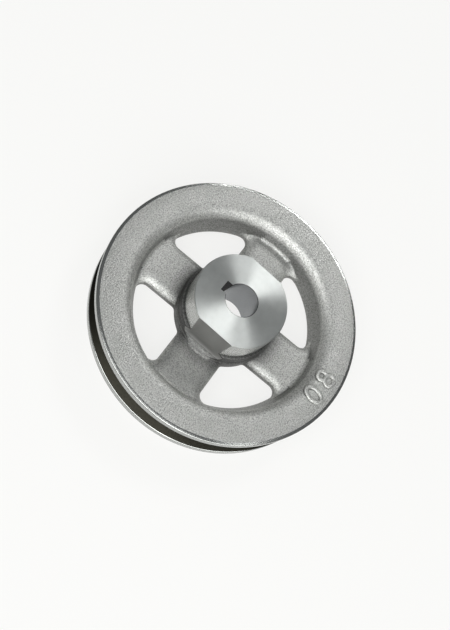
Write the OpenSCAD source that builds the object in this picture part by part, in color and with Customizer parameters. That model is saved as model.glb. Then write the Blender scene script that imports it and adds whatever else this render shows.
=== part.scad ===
// Cast aluminium V-belt pulley with a tapered, keyed bore.
// It lies on the back face of its rim: that face is z = 0, and +Z is the axis, towards the hub's nose.
// Two of its four spokes run along X and two along Y. Sizes are in millimetres.

/* [Rim] */
// Outside diameter of the rim
rim_d = 90; // [84:1:120]
// Width of the rim along the axis
rim_w = 15.5; // [14:0.5:22]
// Radial depth of the rim, from its outside to the wall of the windows
rim_depth = 13.85; // [12.5:0.05:16]
// Slope of the rim's inside wall at the front, away from the axis
rim_slope = 18; // [12:1:26]
// Slope of the rim's inside wall at the back, away from the axis
back_slope = 35; // [20:1:40]
// Radius that rounds the front face into its wall
face_round = 4.8; // [2:0.1:5]
// Radius that rounds the back face into its wall
back_round = 2.9; // [1:0.1:4]
// Radius where those walls run into the web
foot_round = 1.6; // [0.8:0.1:2.5]
// Width of the ring turned at the edge of each face
skim_w = 1.1; // [0.5:0.1:2]
// Fall of that ring from the face to the outside
skim_fall = 0.25; // [0.1:0.05:0.5]
// Radius that breaks the turned edges of the rim
edge_break = 0.4; // [0.2:0.05:0.6]

/* [Belt groove] */
// Width of the groove at the outside
groove_w = 9.5; // [8:0.5:11]
// Depth of the groove
groove_depth = 10; // [7:0.5:11]
// Angle between the two walls of the groove
groove_angle = 38; // [30:1:42]

/* [Web and windows] */
// Thickness of the web and its spokes
web_t = 4.2; // [3.5:0.1:6]
// Depth of the web below the back face
back_recess = 4.7; // [4:0.1:6]
// Width of one spoke
spoke_w = 17.7; // [13:0.1:21]
// Width over which each front edge of a spoke rounds down
spoke_crown = 4.6; // [2:0.1:5]
// Depth to which it rounds down
spoke_round = 2.6; // [1:0.1:3]
// Radius that rounds the back edges of a spoke
spoke_back_round = 0.8; // [0.3:0.1:1.2]
// Radius of a window's corners at the rim
outer_corner = 2.6; // [1.5:0.1:5]
// Radius of a window's corners at the hub
inner_corner = 1.8; // [1:0.1:2.5]
// Width of the web between the cast boss and a window
window_ledge = 0.3; // [0.2:0.05:1.5]

/* [Hub] */
// Diameter of the turned hub
hub_d = 31.7; // [28:0.1:34]
// Length of the hub
hub_len = 20; // [19:0.1:23]
// Height of the hub's nose above the front face
hub_out = 7.75; // [5:0.05:10]
// Length that is turned, from the nose
turned_len = 10; // [6:0.1:11]
// Step from the turned hub out to the cast boss
boss_step = 0.85; // [0.4:0.05:1.5]
// Draft of the cast boss
boss_draft = 3; // [1:0.5:5]
// Radius where the boss runs into the web
boss_foot = 1.2; // [0.5:0.1:2]
// Distance across the two cast flats, at the nose
flats_across = 28.7; // [26:0.1:30.5]
// Draft of the flats
flat_draft = 2.3; // [1:0.1:4]
// Radius at the bottom of the flats
flat_foot = 3; // [1:0.1:4]
// Height of the ledge that the flats leave above the web
flat_ledge = 0.5; // [0.2:0.1:1]
// Turn of the keyway and the flats against the spokes
hub_turn = -2.5; // [-10:0.5:10]

/* [Bore] */
// Diameter of the tapered bore at the nose, its small end
bore_d = 11; // [9:0.1:13]
// Length over which the bore's diameter grows by one millimetre
bore_taper = 5; // [4:0.5:12]
// Chamfer at both ends of the bore
bore_chamfer = 0.2; // [0.1:0.05:0.8]
// Width of the keyway
key_w = 4; // [3:0.5:5]
// Depth of the keyway beyond the bore
key_depth = 1.9; // [1:0.1:2.5]

/* [Hidden] */
$fn = 96;

// How far a cutting shape runs past the metal
past = 1;
// Overlap that lets a blend cross its neighbour instead of only touching it
lap = 0.03;
// Depth of the thin cut that takes a blend off the walls beside a window
shave = 0.05;
// Largest turn between two points of a rounded corner
arc_step = 12;
// Largest shares of the web's thickness for the rounds at a spoke's front and back
front_share = 0.65;
back_share = 0.25;
// Largest shares of a window's radial height for its corners at the rim and at the hub
out_share = 0.45;
in_share = 0.25;
// How far a window's corners turn past their directions, into its open middle
out_over = 90;
in_over = 60;
// How far the open middle of a window keeps off those directions, at the hub and at the rim
in_gap = 15;
out_gap = 10;

// Radii and levels that the sizes above give
rim_r = rim_d / 2;
window_out_r = rim_r - rim_depth;
web_back = back_recess;
web_front = back_recess + web_t;
hub_front = rim_w + hub_out;
hub_back = hub_front - hub_len;
hub_r = hub_d / 2;
shoulder_z = hub_front - turned_len;
boss_r = hub_r + boss_step;
boss_foot_r = boss_r + (shoulder_z - web_front) * tan(boss_draft);
boss_back_r = hub_r + (web_back - hub_back) * tan(boss_draft);
window_in_r = boss_foot_r + window_ledge;
window_h = window_out_r - window_in_r;

// Fillets that give way where their wall is too short for them
front_edge = min(spoke_round, front_share * web_t);
back_edge = min(spoke_back_round, back_share * web_t);
corner_out = min(outer_corner, out_share * window_h);
corner_in = min(inner_corner, in_share * window_h);

// The windows are narrowest between these two levels, and open out above and below them
land_front = web_front - front_edge;
land_back = web_back + back_edge;

// Centres of a window's corners beside the spoke along X, and their directions from the axis
half_spoke = spoke_w / 2;
out_y = half_spoke + corner_out;
out_x = thousandth(sqrt(pow(window_out_r + lap - corner_out, 2) - pow(out_y, 2)));
out_dir = atan2(out_y, out_x);
in_y = half_spoke + corner_in;
in_x = thousandth(sqrt(pow(window_in_r - lap + corner_in, 2) - pow(in_y, 2)));
in_dir = atan2(in_y, in_x);

function thousandth(v) = round(1000 * v) / 1000;
function polar(r, a) = [r * cos(a), r * sin(a)];
function bore_r(z) = bore_d / 2 + (hub_front - z) / bore_taper / 2;
function front_wall_r(z) = window_out_r + (z - land_front) * tan(rim_slope);
function back_wall_r(z) = window_out_r + (land_back - z) * tan(back_slope);
// Height of a fillet of radius r between a level floor and a wall with this slope
function fillet_h(r, slope) = r * tan(45 - slope / 2) * cos(slope);

function unit(v) = v / norm(v);

// Points of a quarter of an oval, from an upright side at [x, z] to a level top w along and h up
function oval(x, z, w, h) =
    let (steps = ceil(90 / arc_step))
    [
        for (i = [0 : steps])
            [thousandth(x + w * (1 - cos(90 * i / steps))), thousandth(z + h * sin(90 * i / steps))]
    ];

// Points of the arc of radius r that rounds the corner b between a and c
function corner_arc(a, b, c, r) =
    let (
        to_a = unit(a - b),
        to_c = unit(c - b),
        half = acos(to_a * to_c) / 2,
        centre = b + unit(to_a + to_c) * r / sin(half),
        from = b + to_a * r / tan(half) - centre,
        to = b + to_c * r / tan(half) - centre,
        first = atan2(from[1], from[0]),
        turn = atan2(to[1], to[0]) - first,
        sweep = turn > 180 ? turn - 360 : turn < -180 ? turn + 360 : turn,
        steps = ceil(abs(sweep) / arc_step)
    )
    [for (i = [0 : steps]) centre + polar(r, first + sweep * i / steps)];

// Outline through corners given as [x, y, radius]
function rounded(corners) =
    let (
        count = len(corners),
        point = [for (c = corners) [c[0], c[1]]]
    )
    [
        for (i = [0 : count - 1])
            each corners[i][2] == 0
                ? [point[i]]
                : corner_arc(point[(i + count - 1) % count], point[i], point[(i + 1) % count], corners[i][2])
    ];

// Half section of the casting with its turned faces, solid to the axis, from the nose round to the back
module section() {
    groove_floor = rim_r - groove_depth;
    floor_half = groove_w / 2 - groove_depth * tan(groove_angle / 2);
    middle = rim_w / 2;
    polygon(rounded([
        [0, hub_front, 0],
        [hub_r, hub_front, edge_break],
        [hub_r, shoulder_z, 0],
        [boss_r, shoulder_z, edge_break],
        [boss_foot_r, web_front, boss_foot],
        [front_wall_r(web_front), web_front, foot_round],
        [front_wall_r(rim_w), rim_w, face_round],
        [rim_r - skim_w, rim_w, 0],
        [rim_r, rim_w - skim_fall, edge_break],
        [rim_r, middle + groove_w / 2, edge_break],
        [groove_floor, middle + floor_half, edge_break],
        [groove_floor, middle - floor_half, edge_break],
        [rim_r, middle - groove_w / 2, edge_break],
        [rim_r, skim_fall, edge_break],
        [rim_r - skim_w, 0, 0],
        [back_wall_r(0), 0, back_round],
        [back_wall_r(web_back), web_back, foot_round],
        [boss_back_r, web_back, 0],
        [hub_r, hub_back, edge_break],
        [0, hub_back, 0]
    ]));
}

// Open space beside a spoke, from x = from to the spoke's side, with the spoke's round edges beyond it
module beside_spoke(from, side) {
    front_z = land_front + lap;
    back_z = land_back - lap;
    polygon(concat(
        oval(side, front_z, spoke_crown, front_edge),
        [[side + spoke_crown, 2 * rim_w], [from, 2 * rim_w], [from, front_z]]
    ));
    difference() {
        translate([from, back_z - rim_w]) square([side - from + back_edge, rim_w]);
        translate([side + back_edge, back_z]) circle(back_edge);
    }
    translate([from, back_z]) square([side - from, front_z - back_z]);
}

// Half of a window: the side along the spoke on X, and the round corners at its two ends.
// The corners turn on into the open middle of the window.
module window_side() {
    translate([out_x, half_spoke, 0])
        rotate([90, 0, -90])
            linear_extrude(out_x - in_x) beside_spoke(-corner_out, 0);
    translate([out_x, out_y, 0])
        rotate([0, 0, -90])
            rotate_extrude(angle = 90 + out_dir + out_over) beside_spoke(0, corner_out);
    translate([in_x, in_y, 0])
        rotate([0, 0, -90])
            rotate_extrude(angle = in_dir - 90 - in_over) beside_spoke(0, corner_in);
}

// The middle of a window, between its two sides
module window_core() {
    far_r = 2 * window_out_r;
    near_r = window_in_r / 2;
    shift = corner_in / 2;
    half_core = [
        polar(near_r, in_dir + in_gap), [in_x + shift, in_y],
        [out_x + shift / 2, out_y - shift / 2], polar(far_r, out_dir + out_gap)
    ];
    mirrored = [for (i = [3 : -1 : 0]) [half_core[i][1], half_core[i][0]]];
    translate([0, 0, -rim_w]) linear_extrude(3 * rim_w) polygon(concat(half_core, mirrored));
}

// Half section of the ring that the windows lie in; its outside clears the blends at the rim's walls
module window_ring() {
    high = rim_w + past;
    front_z = web_front + fillet_h(foot_round, rim_slope) + 2 * shave;
    back_z = web_back - fillet_h(foot_round, back_slope) - 2 * shave;
    front_r = front_wall_r(front_z) + shave;
    back_r = back_wall_r(back_z) + shave;
    tuck_r = boss_back_r + window_ledge;
    tuck_z = land_back - (window_in_r - tuck_r) / tan(back_slope);
    polygon([
        [front_r, high], [front_r, front_z], [window_out_r, land_front],
        [window_out_r, land_back], [back_r, back_z], [back_r, -past],
        [tuck_r, -past], [tuck_r, tuck_z], [window_in_r, land_back], [window_in_r, high]
    ]);
}

// One window, between the spokes along X and Y
module window() {
    intersection() {
        rotate_extrude() window_ring();
        union() {
            window_core();
            window_side();
            mirror([1, -1, 0]) window_side();
        }
    }
}

// What one cast flat takes off the hub, on the side of +X
module flat() {
    stop_z = web_front + flat_ledge;
    lean = tan(flat_draft);
    nose_x = flats_across / 2;
    clear_x = boss_foot_r + boss_foot + past;
    rotate([90, 0, 0])
        linear_extrude(2 * clear_x, center = true)
            polygon(rounded([
                [nose_x - past * lean, hub_front + past, 0],
                [nose_x + (hub_front - stop_z) * lean, stop_z, flat_foot],
                [clear_x, stop_z, 0],
                [clear_x, hub_front + past, 0]
            ]));
}

// The tapered bore with its two chamfers
module bore() {
    back_r = bore_r(hub_back) + bore_chamfer;
    front_r = bore_r(hub_front) + bore_chamfer;
    low = hub_back - past;
    high = hub_front + past;
    translate([0, 0, low]) cylinder(h = high - low, r1 = bore_r(low), r2 = bore_r(high));
    translate([0, 0, low]) cylinder(h = past + bore_chamfer, r1 = back_r + past, r2 = back_r - bore_chamfer);
    translate([0, 0, hub_front - bore_chamfer])
        cylinder(h = past + bore_chamfer, r1 = front_r - bore_chamfer, r2 = front_r + past);
}

// The keyway, on the side of +Y, with its floor parallel to the taper
module keyway() {
    low = hub_back - past;
    high = hub_front + past;
    rotate([90, 0, 90])
        linear_extrude(key_w, center = true)
            polygon([
                [0, low], [bore_r(low) + key_depth, low],
                [bore_r(high) + key_depth, high], [0, high]
            ]);
}

module pulley() {
    color([0.7, 0.71, 0.7])
        difference() {
            rotate_extrude() section();
            for (quarter = [0 : 3]) rotate([0, 0, 90 * quarter]) window();
            rotate([0, 0, hub_turn]) {
                flat();
                mirror([1, 0, 0]) flat();
                bore();
                keyway();
            }
        }
}

pulley();
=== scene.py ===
"""Looks of a cast aluminium V-belt pulley: sand-cast web and rim, turned hub, bore, groove and edges."""
import math

import bmesh
import bpy
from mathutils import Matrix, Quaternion, Vector


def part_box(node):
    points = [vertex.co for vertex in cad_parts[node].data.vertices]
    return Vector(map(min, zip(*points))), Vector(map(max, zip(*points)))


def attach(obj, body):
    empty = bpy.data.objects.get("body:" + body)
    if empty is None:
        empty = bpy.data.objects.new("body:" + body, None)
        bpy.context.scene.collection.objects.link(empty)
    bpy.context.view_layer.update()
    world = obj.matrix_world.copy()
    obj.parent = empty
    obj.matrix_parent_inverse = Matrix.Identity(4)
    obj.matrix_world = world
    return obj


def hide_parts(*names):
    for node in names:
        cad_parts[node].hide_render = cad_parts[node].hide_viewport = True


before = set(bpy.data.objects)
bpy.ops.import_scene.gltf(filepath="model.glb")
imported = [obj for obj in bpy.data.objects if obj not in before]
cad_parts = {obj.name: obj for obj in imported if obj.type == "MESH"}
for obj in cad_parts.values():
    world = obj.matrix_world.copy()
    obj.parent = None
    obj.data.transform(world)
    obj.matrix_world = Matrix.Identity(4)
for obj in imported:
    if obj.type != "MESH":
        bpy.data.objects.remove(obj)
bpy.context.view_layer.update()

# Sizes in metres; the box gives the rim's radius and the hub's height
MM = 0.001
LOW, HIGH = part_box("pulley")
RIM_R = HIGH[0]
RIM_W = 15.5 * MM
HUB_R = 15.85 * MM
HUB_FRONT = HIGH[2]
HUB_BACK = HUB_FRONT - 20 * MM
# The hub's side is turned from its front to this level, and cast below it
SHOULDER_Z = HUB_FRONT - 10 * MM
# How far the edges of the hub's ends reach along the axis
FRONT_EDGE = 0.5 * MM
BACK_EDGE = 0.3 * MM
# The bore is narrowest at the front; its radius grows by a share of the depth
BORE_R = 5.5 * MM
BORE_GROWTH = 0.1
BORE_MAX_R = 9.6 * MM
# What lies deeper in the bore's wall than this is the keyway
KEY_NEAR = 0.3 * MM
# Turned rings at both edges of the rim
SKIM_W = 1.1 * MM
SKIM_DEPTH = 0.6 * MM
EDGE_W = 0.5 * MM
# Belt groove
GROOVE_FLOOR_R = RIM_R - 10 * MM
GROOVE_W = 9.5 * MM

# A face counts as lying on a turned surface within this distance
NEAR = 0.06 * MM
# Parts of a face's normal along the axis: a wall has less than the first, a level ring more than the last
WALL_BELOW = 0.9
STEEP_BELOW = 0.5
LEVEL_ABOVE = 0.95
# Part of the bore's normal that points at the axis; the keyway's walls have less
BORE_FACING = 0.9
# Edges that turn more than this stay crisp
CRISP = math.radians(32)
# Points closer than this are one
MERGE = 0.001 * MM

# Sand-cast skin; each list of stops gives a shade, a tone or a roughness at places from 0 to 1
GRAIN = 0.42 * MM
GRAIN_DETAIL = 2.0
GRAIN_HARSHNESS = 0.6
GRAIN_HEIGHT = 0.16 * MM
GRAIN_SHADES = ((0.36, 0.5), (0.5, 0.82), (0.64, 1.0))
GRAIN_ROUGHNESS = ((0.3, 0.58), (0.7, 0.46))
CLOUD = 7 * MM
CLOUD_DETAIL = 2.0
CLOUD_TONES = ((0.3, (0.68, 0.69, 0.66)), (0.7, (0.73, 0.735, 0.71)))
CAST_METALLIC = 0.88
# Painted shade by slope: steep walls are painted darker and level faces a little darker, so rounded edges
# stand out as a painted highlight
PAINTED_SLOPE_SHADES = ((0.3, 0.5), (0.45, 1.0), (0.85, 1.0), (0.98, 0.82))
# Painted shade in corners, and how far from the corner it reaches
CORNER_REACH = 6 * MM
PAINTED_CORNER_SHADES = ((0.35, 0.35), (0.8, 1.0))
CORNER_SAMPLES = 6
# Painted shade round the hub's foot, darkest there; radius and shade
PAINTED_HUB_SHADES = ((17 * MM, 0.3), (22 * MM, 0.86), (31 * MM, 1.0))
# Radius that shading gives to the edges of the casting and of its raised mark
CAST_EDGE = 1.4 * MM
MARK_EDGE = 0.15 * MM
EDGE_SAMPLES = 8

# Machined finishes: material, tone, roughness, stretch of the highlight, and pitch of the tool's rings;
# the dark tones of the bore, keyway and groove are painted shade of these hollows
MACHINED = {
    "turned": ("turned_aluminium", (0.62, 0.63, 0.61), 0.22, 0.3, 0.12 * MM),
    "edge": ("edge_aluminium", (0.42, 0.43, 0.415), 0.2, 0.3, 0.12 * MM),
    "nose": ("faced_aluminium", (0.54, 0.56, 0.545), 0.42, 0.92, 0.15 * MM),
    "flat": ("milled_aluminium", (0.36, 0.36, 0.35), 0.5, 0.0, 0.2 * MM),
    # Bore, keyway and groove: their dark tones are painted shade
    "bore": ("bored_aluminium_painted_shade", (0.26, 0.27, 0.28), 0.3, 0.5, 0.1 * MM),
    "keyway": ("keyway_aluminium_painted_shade", (0.08, 0.08, 0.08), 0.5, 0.0, 0.1 * MM),
    "groove": ("groove_aluminium_painted_shade", (0.03, 0.029, 0.023), 0.4, 0.5, 0.2 * MM),
}
RING_HEIGHT = 0.004 * MM
# Quarter turn that spreads a highlight across the turned rings
ACROSS_RINGS = 0.25
# Faint stains on machined faces
STAIN = 2.2 * MM
STAIN_DETAIL = 3.0
STAIN_SHADE = 0.94
STAIN_FROM, STAIN_TO = 0.32, 0.6

# Raised mark on the front face: a plain casting number, its feet towards the outside
MARK_R = 38.5 * MM
MARK_ANGLES = (-98.6, -87.6)
STROKE_R = 0.85 * MM
STROKE_SUNK = 0.2 * MM
RING_STEPS = 56
STROKE_STEPS = 12
# Each digit's rings: offset towards the outside, half height and half width
ZERO = ((0.0, 3.1 * MM, 1.95 * MM),)
EIGHT = ((-1.55 * MM, 1.5 * MM, 1.55 * MM), (1.45 * MM, 1.6 * MM, 1.95 * MM))

# Camera: where it stands round the pulley's axis, and how it is rolled
TARGET = Vector((0.03 * MM, 0.1 * MM, 7.75 * MM))
CAMERA_AZIMUTH = -99.98
CAMERA_ELEVATION = 62.79
CAMERA_ROLL = 48.33
CAMERA_DISTANCE = 275.03 * MM
CAMERA_LENS = 47.1
CAMERA_CLIP = (0.01, 20)

# Soft boxes: azimuth, elevation, width and height in metres, and watts
LAMP_DISTANCE = 0.8
LAMPS = {
    "far_box": (80, 44, 0.22, 0.18, 1.5),
    "near_box": (-100, 50, 0.9, 0.5, 5.8),
    "low_box": (-52, 28, 0.8, 0.3, 2.8),
    "side_box": (103, 40, 0.06, 0.12, 0.35),
    "right_box": (-5, 60, 0.15, 0.15, 0.35),
}
# Studio's dim light by height, from below to above
SKY_TONES = ((0.25, (0.05, 0.05, 0.05)), (0.75, (0.19, 0.195, 0.2)))

# Pale floor, its glow for the camera and for mirror-like metal, and that glow's share
PAPER = (0.86, 0.86, 0.85)
GLOW = (0.98, 0.98, 0.965)
GLOW_STRENGTH = 0.97
GLOW_SHARE = 0.85
FLOOR_HALF = 3.0
FLOOR_GAP = 0.02 * MM

scene = bpy.context.scene
scene.view_settings.view_transform = "Standard"


def direction(azimuth, elevation):
    """Unit vector towards a place round the pulley; azimuth 0 is on the side of -Y."""
    a, e = math.radians(azimuth), math.radians(elevation)
    return Vector((math.sin(a) * math.cos(e), -math.cos(a) * math.cos(e), math.sin(e)))


def add_camera():
    data = bpy.data.cameras.new("camera")
    data.lens = CAMERA_LENS
    data.clip_start, data.clip_end = CAMERA_CLIP
    camera = bpy.data.objects.new("camera", data)
    back = direction(CAMERA_AZIMUTH, CAMERA_ELEVATION)
    camera.location = TARGET + back * CAMERA_DISTANCE
    camera.rotation_mode = "QUATERNION"
    roll = Quaternion((0, 0, 1), math.radians(CAMERA_ROLL))
    camera.rotation_quaternion = (-back).to_track_quat("-Z", "Y") @ roll
    scene.collection.objects.link(camera)
    scene.camera = camera


def add_softbox(name, azimuth, elevation, width, height, watts):
    """A rectangular lamp that faces the camera's target."""
    data = bpy.data.lights.new(name, "AREA")
    data.shape = "RECTANGLE"
    data.size, data.size_y = width, height
    data.energy = watts
    lamp = bpy.data.objects.new(name, data)
    towards = direction(azimuth, elevation)
    lamp.location = TARGET + towards * LAMP_DISTANCE
    lamp.rotation_mode = "QUATERNION"
    lamp.rotation_quaternion = (-towards).to_track_quat("-Z", "Y")
    scene.collection.objects.link(lamp)


class Nodes:
    """Short calls for one material's or world's node tree."""

    def __init__(self, owner):
        owner.use_nodes = True
        self.tree = owner.node_tree
        self.tree.nodes.clear()

    def add(self, kind, **values):
        node = self.tree.nodes.new(kind)
        for key, value in values.items():
            setattr(node, key, value)
        return node

    def link(self, source, target):
        self.tree.links.new(source, target)

    def math(self, operation, first, second=None):
        node = self.add("ShaderNodeMath", operation=operation)
        for socket, value in zip(node.inputs, (first, second)):
            if isinstance(value, bpy.types.NodeSocket):
                self.link(value, socket)
            elif value is not None:
                socket.default_value = value
        return node.outputs[0]

    def noise(self, coordinates, size, detail, roughness=0.5):
        """Noise whose grain is about size metres across."""
        node = self.add("ShaderNodeTexNoise")
        self.link(coordinates, node.inputs["Vector"])
        node.inputs["Scale"].default_value = 1 / size
        node.inputs["Detail"].default_value = detail
        node.inputs["Roughness"].default_value = roughness
        return node.outputs["Fac"]

    def ramp(self, factor, *stops):
        """Colours or greys at places from 0 to 1."""
        node = self.add("ShaderNodeValToRGB")
        ends = node.color_ramp.elements
        while len(ends) < len(stops):
            ends.new(0.5)
        for end, (place, colour) in zip(ends, stops):
            end.position = place
            end.color = (*colour, 1) if isinstance(colour, tuple) else (colour, colour, colour, 1)
        self.link(factor, node.inputs["Fac"])
        return node.outputs["Color"]

    def multiply(self, first, second):
        node = self.add("ShaderNodeMix", data_type="RGBA", blend_type="MULTIPLY")
        node.inputs["Factor"].default_value = 1
        self.link(first, node.inputs["A"])
        self.link(second, node.inputs["B"])
        return node.outputs["Result"]

    def bump(self, height, distance, normal=None):
        node = self.add("ShaderNodeBump")
        node.inputs["Distance"].default_value = distance
        node.inputs["Strength"].default_value = 1
        self.link(height, node.inputs["Height"])
        if normal is not None:
            self.link(normal, node.inputs["Normal"])
        return node.outputs["Normal"]


def show_background(nodes, surface):
    """Mixes a plain glow into what the camera and mirror-like surfaces see of the floor."""
    path = nodes.add("ShaderNodeLightPath")
    seen = nodes.math("MAXIMUM", path.outputs["Is Camera Ray"], path.outputs["Is Glossy Ray"])
    seen = nodes.math("MAXIMUM", seen, path.outputs["Is Transmission Ray"])
    glow = nodes.add("ShaderNodeEmission")
    glow.inputs["Color"].default_value = (*GLOW, 1)
    glow.inputs["Strength"].default_value = GLOW_STRENGTH
    mix = nodes.add("ShaderNodeMixShader")
    nodes.link(nodes.math("MULTIPLY", seen, GLOW_SHARE), mix.inputs["Fac"])
    nodes.link(surface, mix.inputs[1])
    nodes.link(glow.outputs[0], mix.inputs[2])
    return mix.outputs[0]


def add_floor():
    material = bpy.data.materials.new("pale_floor")
    nodes = Nodes(material)
    paper = nodes.add("ShaderNodeBsdfDiffuse")
    paper.inputs["Color"].default_value = (*PAPER, 1)
    out = nodes.add("ShaderNodeOutputMaterial")
    nodes.link(show_background(nodes, paper.outputs[0]), out.inputs["Surface"])
    half = FLOOR_HALF
    corners = [(-half, -half, 0), (half, -half, 0), (half, half, 0), (-half, half, 0)]
    mesh = bpy.data.meshes.new("floor")
    mesh.from_pydata(corners, [], [(0, 1, 2, 3)])
    mesh.materials.append(material)
    floor = bpy.data.objects.new("floor", mesh)
    floor.location.z = LOW[2] - FLOOR_GAP
    scene.collection.objects.link(floor)


def add_world():
    world = bpy.data.worlds.new("studio")
    scene.world = world
    nodes = Nodes(world)
    sky = nodes.add("ShaderNodeBackground")
    height = nodes.add("ShaderNodeSeparateXYZ")
    nodes.link(nodes.add("ShaderNodeTexCoord").outputs["Generated"], height.inputs[0])
    nodes.link(nodes.ramp(height.outputs["Z"], *SKY_TONES), sky.inputs["Color"])
    sky.inputs["Strength"].default_value = 1
    out = nodes.add("ShaderNodeOutputWorld")
    nodes.link(sky.outputs[0], out.inputs["Surface"])


def metal(nodes, colour, roughness, normal, anisotropic=0.0, metallic=1.0):
    """Ends a material with a metal whose colour, roughness and normal are values or sockets."""
    shader = nodes.add("ShaderNodeBsdfPrincipled")
    shader.inputs["Metallic"].default_value = metallic
    if anisotropic:
        shader.inputs["Anisotropic"].default_value = anisotropic
        shader.inputs["Anisotropic Rotation"].default_value = ACROSS_RINGS
        tangent = nodes.add("ShaderNodeTangent", direction_type="RADIAL", axis="Z")
        nodes.link(tangent.outputs[0], shader.inputs["Tangent"])
    for socket, value in (("Base Color", colour), ("Roughness", roughness), ("Normal", normal)):
        if isinstance(value, bpy.types.NodeSocket):
            nodes.link(value, shader.inputs[socket])
        else:
            shader.inputs[socket].default_value = value
    out = nodes.add("ShaderNodeOutputMaterial")
    nodes.link(shader.outputs[0], out.inputs["Surface"])


def radius_of(nodes, place):
    """Distance from the pulley's axis, and the height along it."""
    split = nodes.add("ShaderNodeSeparateXYZ")
    nodes.link(place, split.inputs[0])
    x, y, z = split.outputs
    squares = nodes.math("ADD", nodes.math("MULTIPLY", x, x), nodes.math("MULTIPLY", y, y))
    return nodes.math("SQRT", squares), z


def cast_aluminium(name, soft_edge):
    """Satin sand-cast skin: fine grains over faint clouds, with painted shade on walls, in corners and by
    the hub, and a painted highlight on rounded edges.
    """
    material = bpy.data.materials.new(name)
    nodes = Nodes(material)
    coordinates = nodes.add("ShaderNodeTexCoord")
    place = coordinates.outputs["Object"]
    radius, _ = radius_of(nodes, place)
    grain = nodes.noise(place, GRAIN, GRAIN_DETAIL, GRAIN_HARSHNESS)
    facing = nodes.add("ShaderNodeSeparateXYZ")
    nodes.link(coordinates.outputs["Normal"], facing.inputs[0])
    corner = nodes.add("ShaderNodeAmbientOcclusion", samples=CORNER_SAMPLES)
    corner.inputs["Distance"].default_value = CORNER_REACH
    painted_hub_shade = [(r / RIM_R, shade) for r, shade in PAINTED_HUB_SHADES]
    shades = (
        nodes.ramp(grain, *GRAIN_SHADES),
        # painted shade on steep walls and level faces, painted highlight on rounded edges
        nodes.ramp(nodes.math("ABSOLUTE", facing.outputs["Z"]), *PAINTED_SLOPE_SHADES),
        # painted shade in corners, darker where less of the surroundings is open
        nodes.ramp(corner.outputs["AO"], *PAINTED_CORNER_SHADES),
        # painted shade, darkest round the hub's foot
        nodes.ramp(nodes.math("DIVIDE", radius, RIM_R), *painted_hub_shade),
    )
    colour = nodes.ramp(nodes.noise(place, CLOUD, CLOUD_DETAIL), *CLOUD_TONES)
    for shade in shades:
        colour = nodes.multiply(colour, shade)
    soft = nodes.add("ShaderNodeBevel", samples=EDGE_SAMPLES)
    soft.inputs["Radius"].default_value = soft_edge
    normal = nodes.bump(grain, GRAIN_HEIGHT, soft.outputs[0])
    metal(nodes, colour, nodes.ramp(grain, *GRAIN_ROUGHNESS), normal, metallic=CAST_METALLIC)
    return material


def turned_aluminium(name, tone_or_painted_shade, roughness, anisotropic, pitch):
    """Machined metal with fine rings round the axis, a feed of pitch apart."""
    material = bpy.data.materials.new(name)
    nodes = Nodes(material)
    place = nodes.add("ShaderNodeTexCoord").outputs["Object"]
    along = nodes.math("ADD", *radius_of(nodes, place))
    rings = nodes.math("SINE", nodes.math("MULTIPLY", along, 2 * math.pi / pitch))
    stains = nodes.noise(place, STAIN, STAIN_DETAIL)
    # The tone is the finish's own colour, or painted shade for the bore, keyway and groove
    stained = tuple(STAIN_SHADE * c for c in tone_or_painted_shade)
    colour = nodes.ramp(stains, (STAIN_FROM, stained), (STAIN_TO, tone_or_painted_shade))
    metal(nodes, colour, roughness, nodes.bump(rings, RING_HEIGHT), anisotropic)
    return material


def finish_of(face):
    """Which of the casting's finishes a face has, from where it lies."""
    centre = face.calc_center_median()
    r, z = math.hypot(centre.x, centre.y), centre.z
    slope = face.normal.z
    if r < BORE_MAX_R and abs(slope) < WALL_BELOW:
        towards_axis = -(face.normal.x * centre.x + face.normal.y * centre.y) / r
        bore_r = BORE_R + (HUB_FRONT - z) * BORE_GROWTH
        in_key = r > bore_r + KEY_NEAR or towards_axis < BORE_FACING
        return "keyway" if in_key else "bore"
    on_front = z > HUB_FRONT - FRONT_EDGE and slope > STEEP_BELOW
    if r < HUB_R + NEAR and (on_front or z < HUB_BACK + BACK_EDGE):
        return "nose"
    if abs(r - HUB_R) < NEAR and z > SHOULDER_Z - NEAR and abs(slope) < WALL_BELOW:
        return "turned"
    if r < HUB_R - NEAR and abs(slope) < STEEP_BELOW:
        return "flat"
    between_skims = SKIM_DEPTH < z < RIM_W - SKIM_DEPTH
    if r > RIM_R - SKIM_W and abs(slope) > LEVEL_ABOVE and not between_skims:
        return "edge"
    if r > RIM_R - EDGE_W:
        return "edge"
    if r > GROOVE_FLOOR_R - NEAR and abs(z - RIM_W / 2) < GROOVE_W / 2:
        return "groove"
    return "cast"


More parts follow.
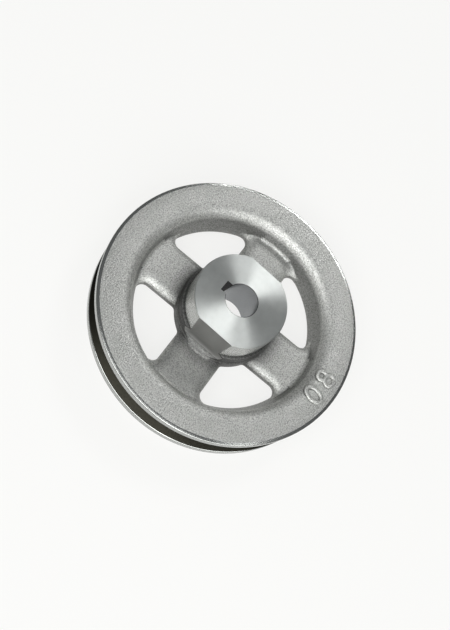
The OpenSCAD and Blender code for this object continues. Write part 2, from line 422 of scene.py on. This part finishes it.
def add_casting(materials):
    """The CAD solid with smooth shading and each face's own finish."""
    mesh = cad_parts["pulley"].data.copy()
    mesh.name = "casting"
    if "custom_normal" in mesh.attributes:
        mesh.attributes.remove(mesh.attributes["custom_normal"])
    casting = bpy.data.objects.new("casting", mesh)
    scene.collection.objects.link(casting)
    mesh.materials.clear()
    order = list(materials)
    for name in order:
        mesh.materials.append(materials[name])
    shape = bmesh.new()
    shape.from_mesh(mesh)
    bmesh.ops.remove_doubles(shape, verts=shape.verts, dist=MERGE)
    for edge in shape.edges:
        edge.smooth = edge.calc_face_angle(0) < CRISP
    for face in shape.faces:
        face.smooth = True
        face.material_index = order.index(finish_of(face))
    shape.to_mesh(mesh)
    shape.free()
    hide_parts("pulley")
    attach(casting, "root")


def add_digit(name, rings, angle, material):
    """A digit made of closed rings, its round strokes partly sunk in the front face."""
    turn = math.radians(angle)
    up = Vector((0, 0, 1))
    outward = Vector((math.cos(turn), math.sin(turn), 0))
    across = Vector((-outward.y, outward.x, 0))
    points, faces = [], []
    for offset, half_height, half_width in rings:
        first = len(points)
        centre = outward * (MARK_R + offset) + up * (RIM_W - STROKE_SUNK)
        for i in range(RING_STEPS):
            a = 2 * math.pi * i / RING_STEPS
            path = outward * (half_height * math.cos(a)) + across * (half_width * math.sin(a))
            along = across * (half_width * math.cos(a)) - outward * (half_height * math.sin(a))
            side = along.normalized().cross(up)
            for j in range(STROKE_STEPS):
                b = 2 * math.pi * j / STROKE_STEPS
                points.append(centre + path + STROKE_R * (side * math.cos(b) + up * math.sin(b)))
        for i in range(RING_STEPS):
            here = first + i * STROKE_STEPS
            there = first + (i + 1) % RING_STEPS * STROKE_STEPS
            for j in range(STROKE_STEPS):
                k = (j + 1) % STROKE_STEPS
                faces.append((here + j, there + j, there + k, here + k))
    mesh = bpy.data.meshes.new(name)
    mesh.from_pydata(points, [], faces)
    mesh.materials.append(material)
    mesh.shade_smooth()
    shape = bmesh.new()
    shape.from_mesh(mesh)
    bmesh.ops.recalc_face_normals(shape, faces=shape.faces)
    shape.to_mesh(mesh)
    shape.free()
    digit = bpy.data.objects.new(name, mesh)
    scene.collection.objects.link(digit)
    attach(digit, "root")


add_camera()
add_world()
add_floor()
for lamp_name, lamp_values in LAMPS.items():
    add_softbox(lamp_name, *lamp_values)

finishes = {"cast": cast_aluminium("cast_aluminium", CAST_EDGE)}
for finish, finish_values in MACHINED.items():
    finishes[finish] = turned_aluminium(*finish_values)
mark_skin = cast_aluminium("mark_aluminium", MARK_EDGE)
add_casting(finishes)
add_digit("mark_first", ZERO, MARK_ANGLES[0], mark_skin)
add_digit("mark_second", EIGHT, MARK_ANGLES[1], mark_skin)
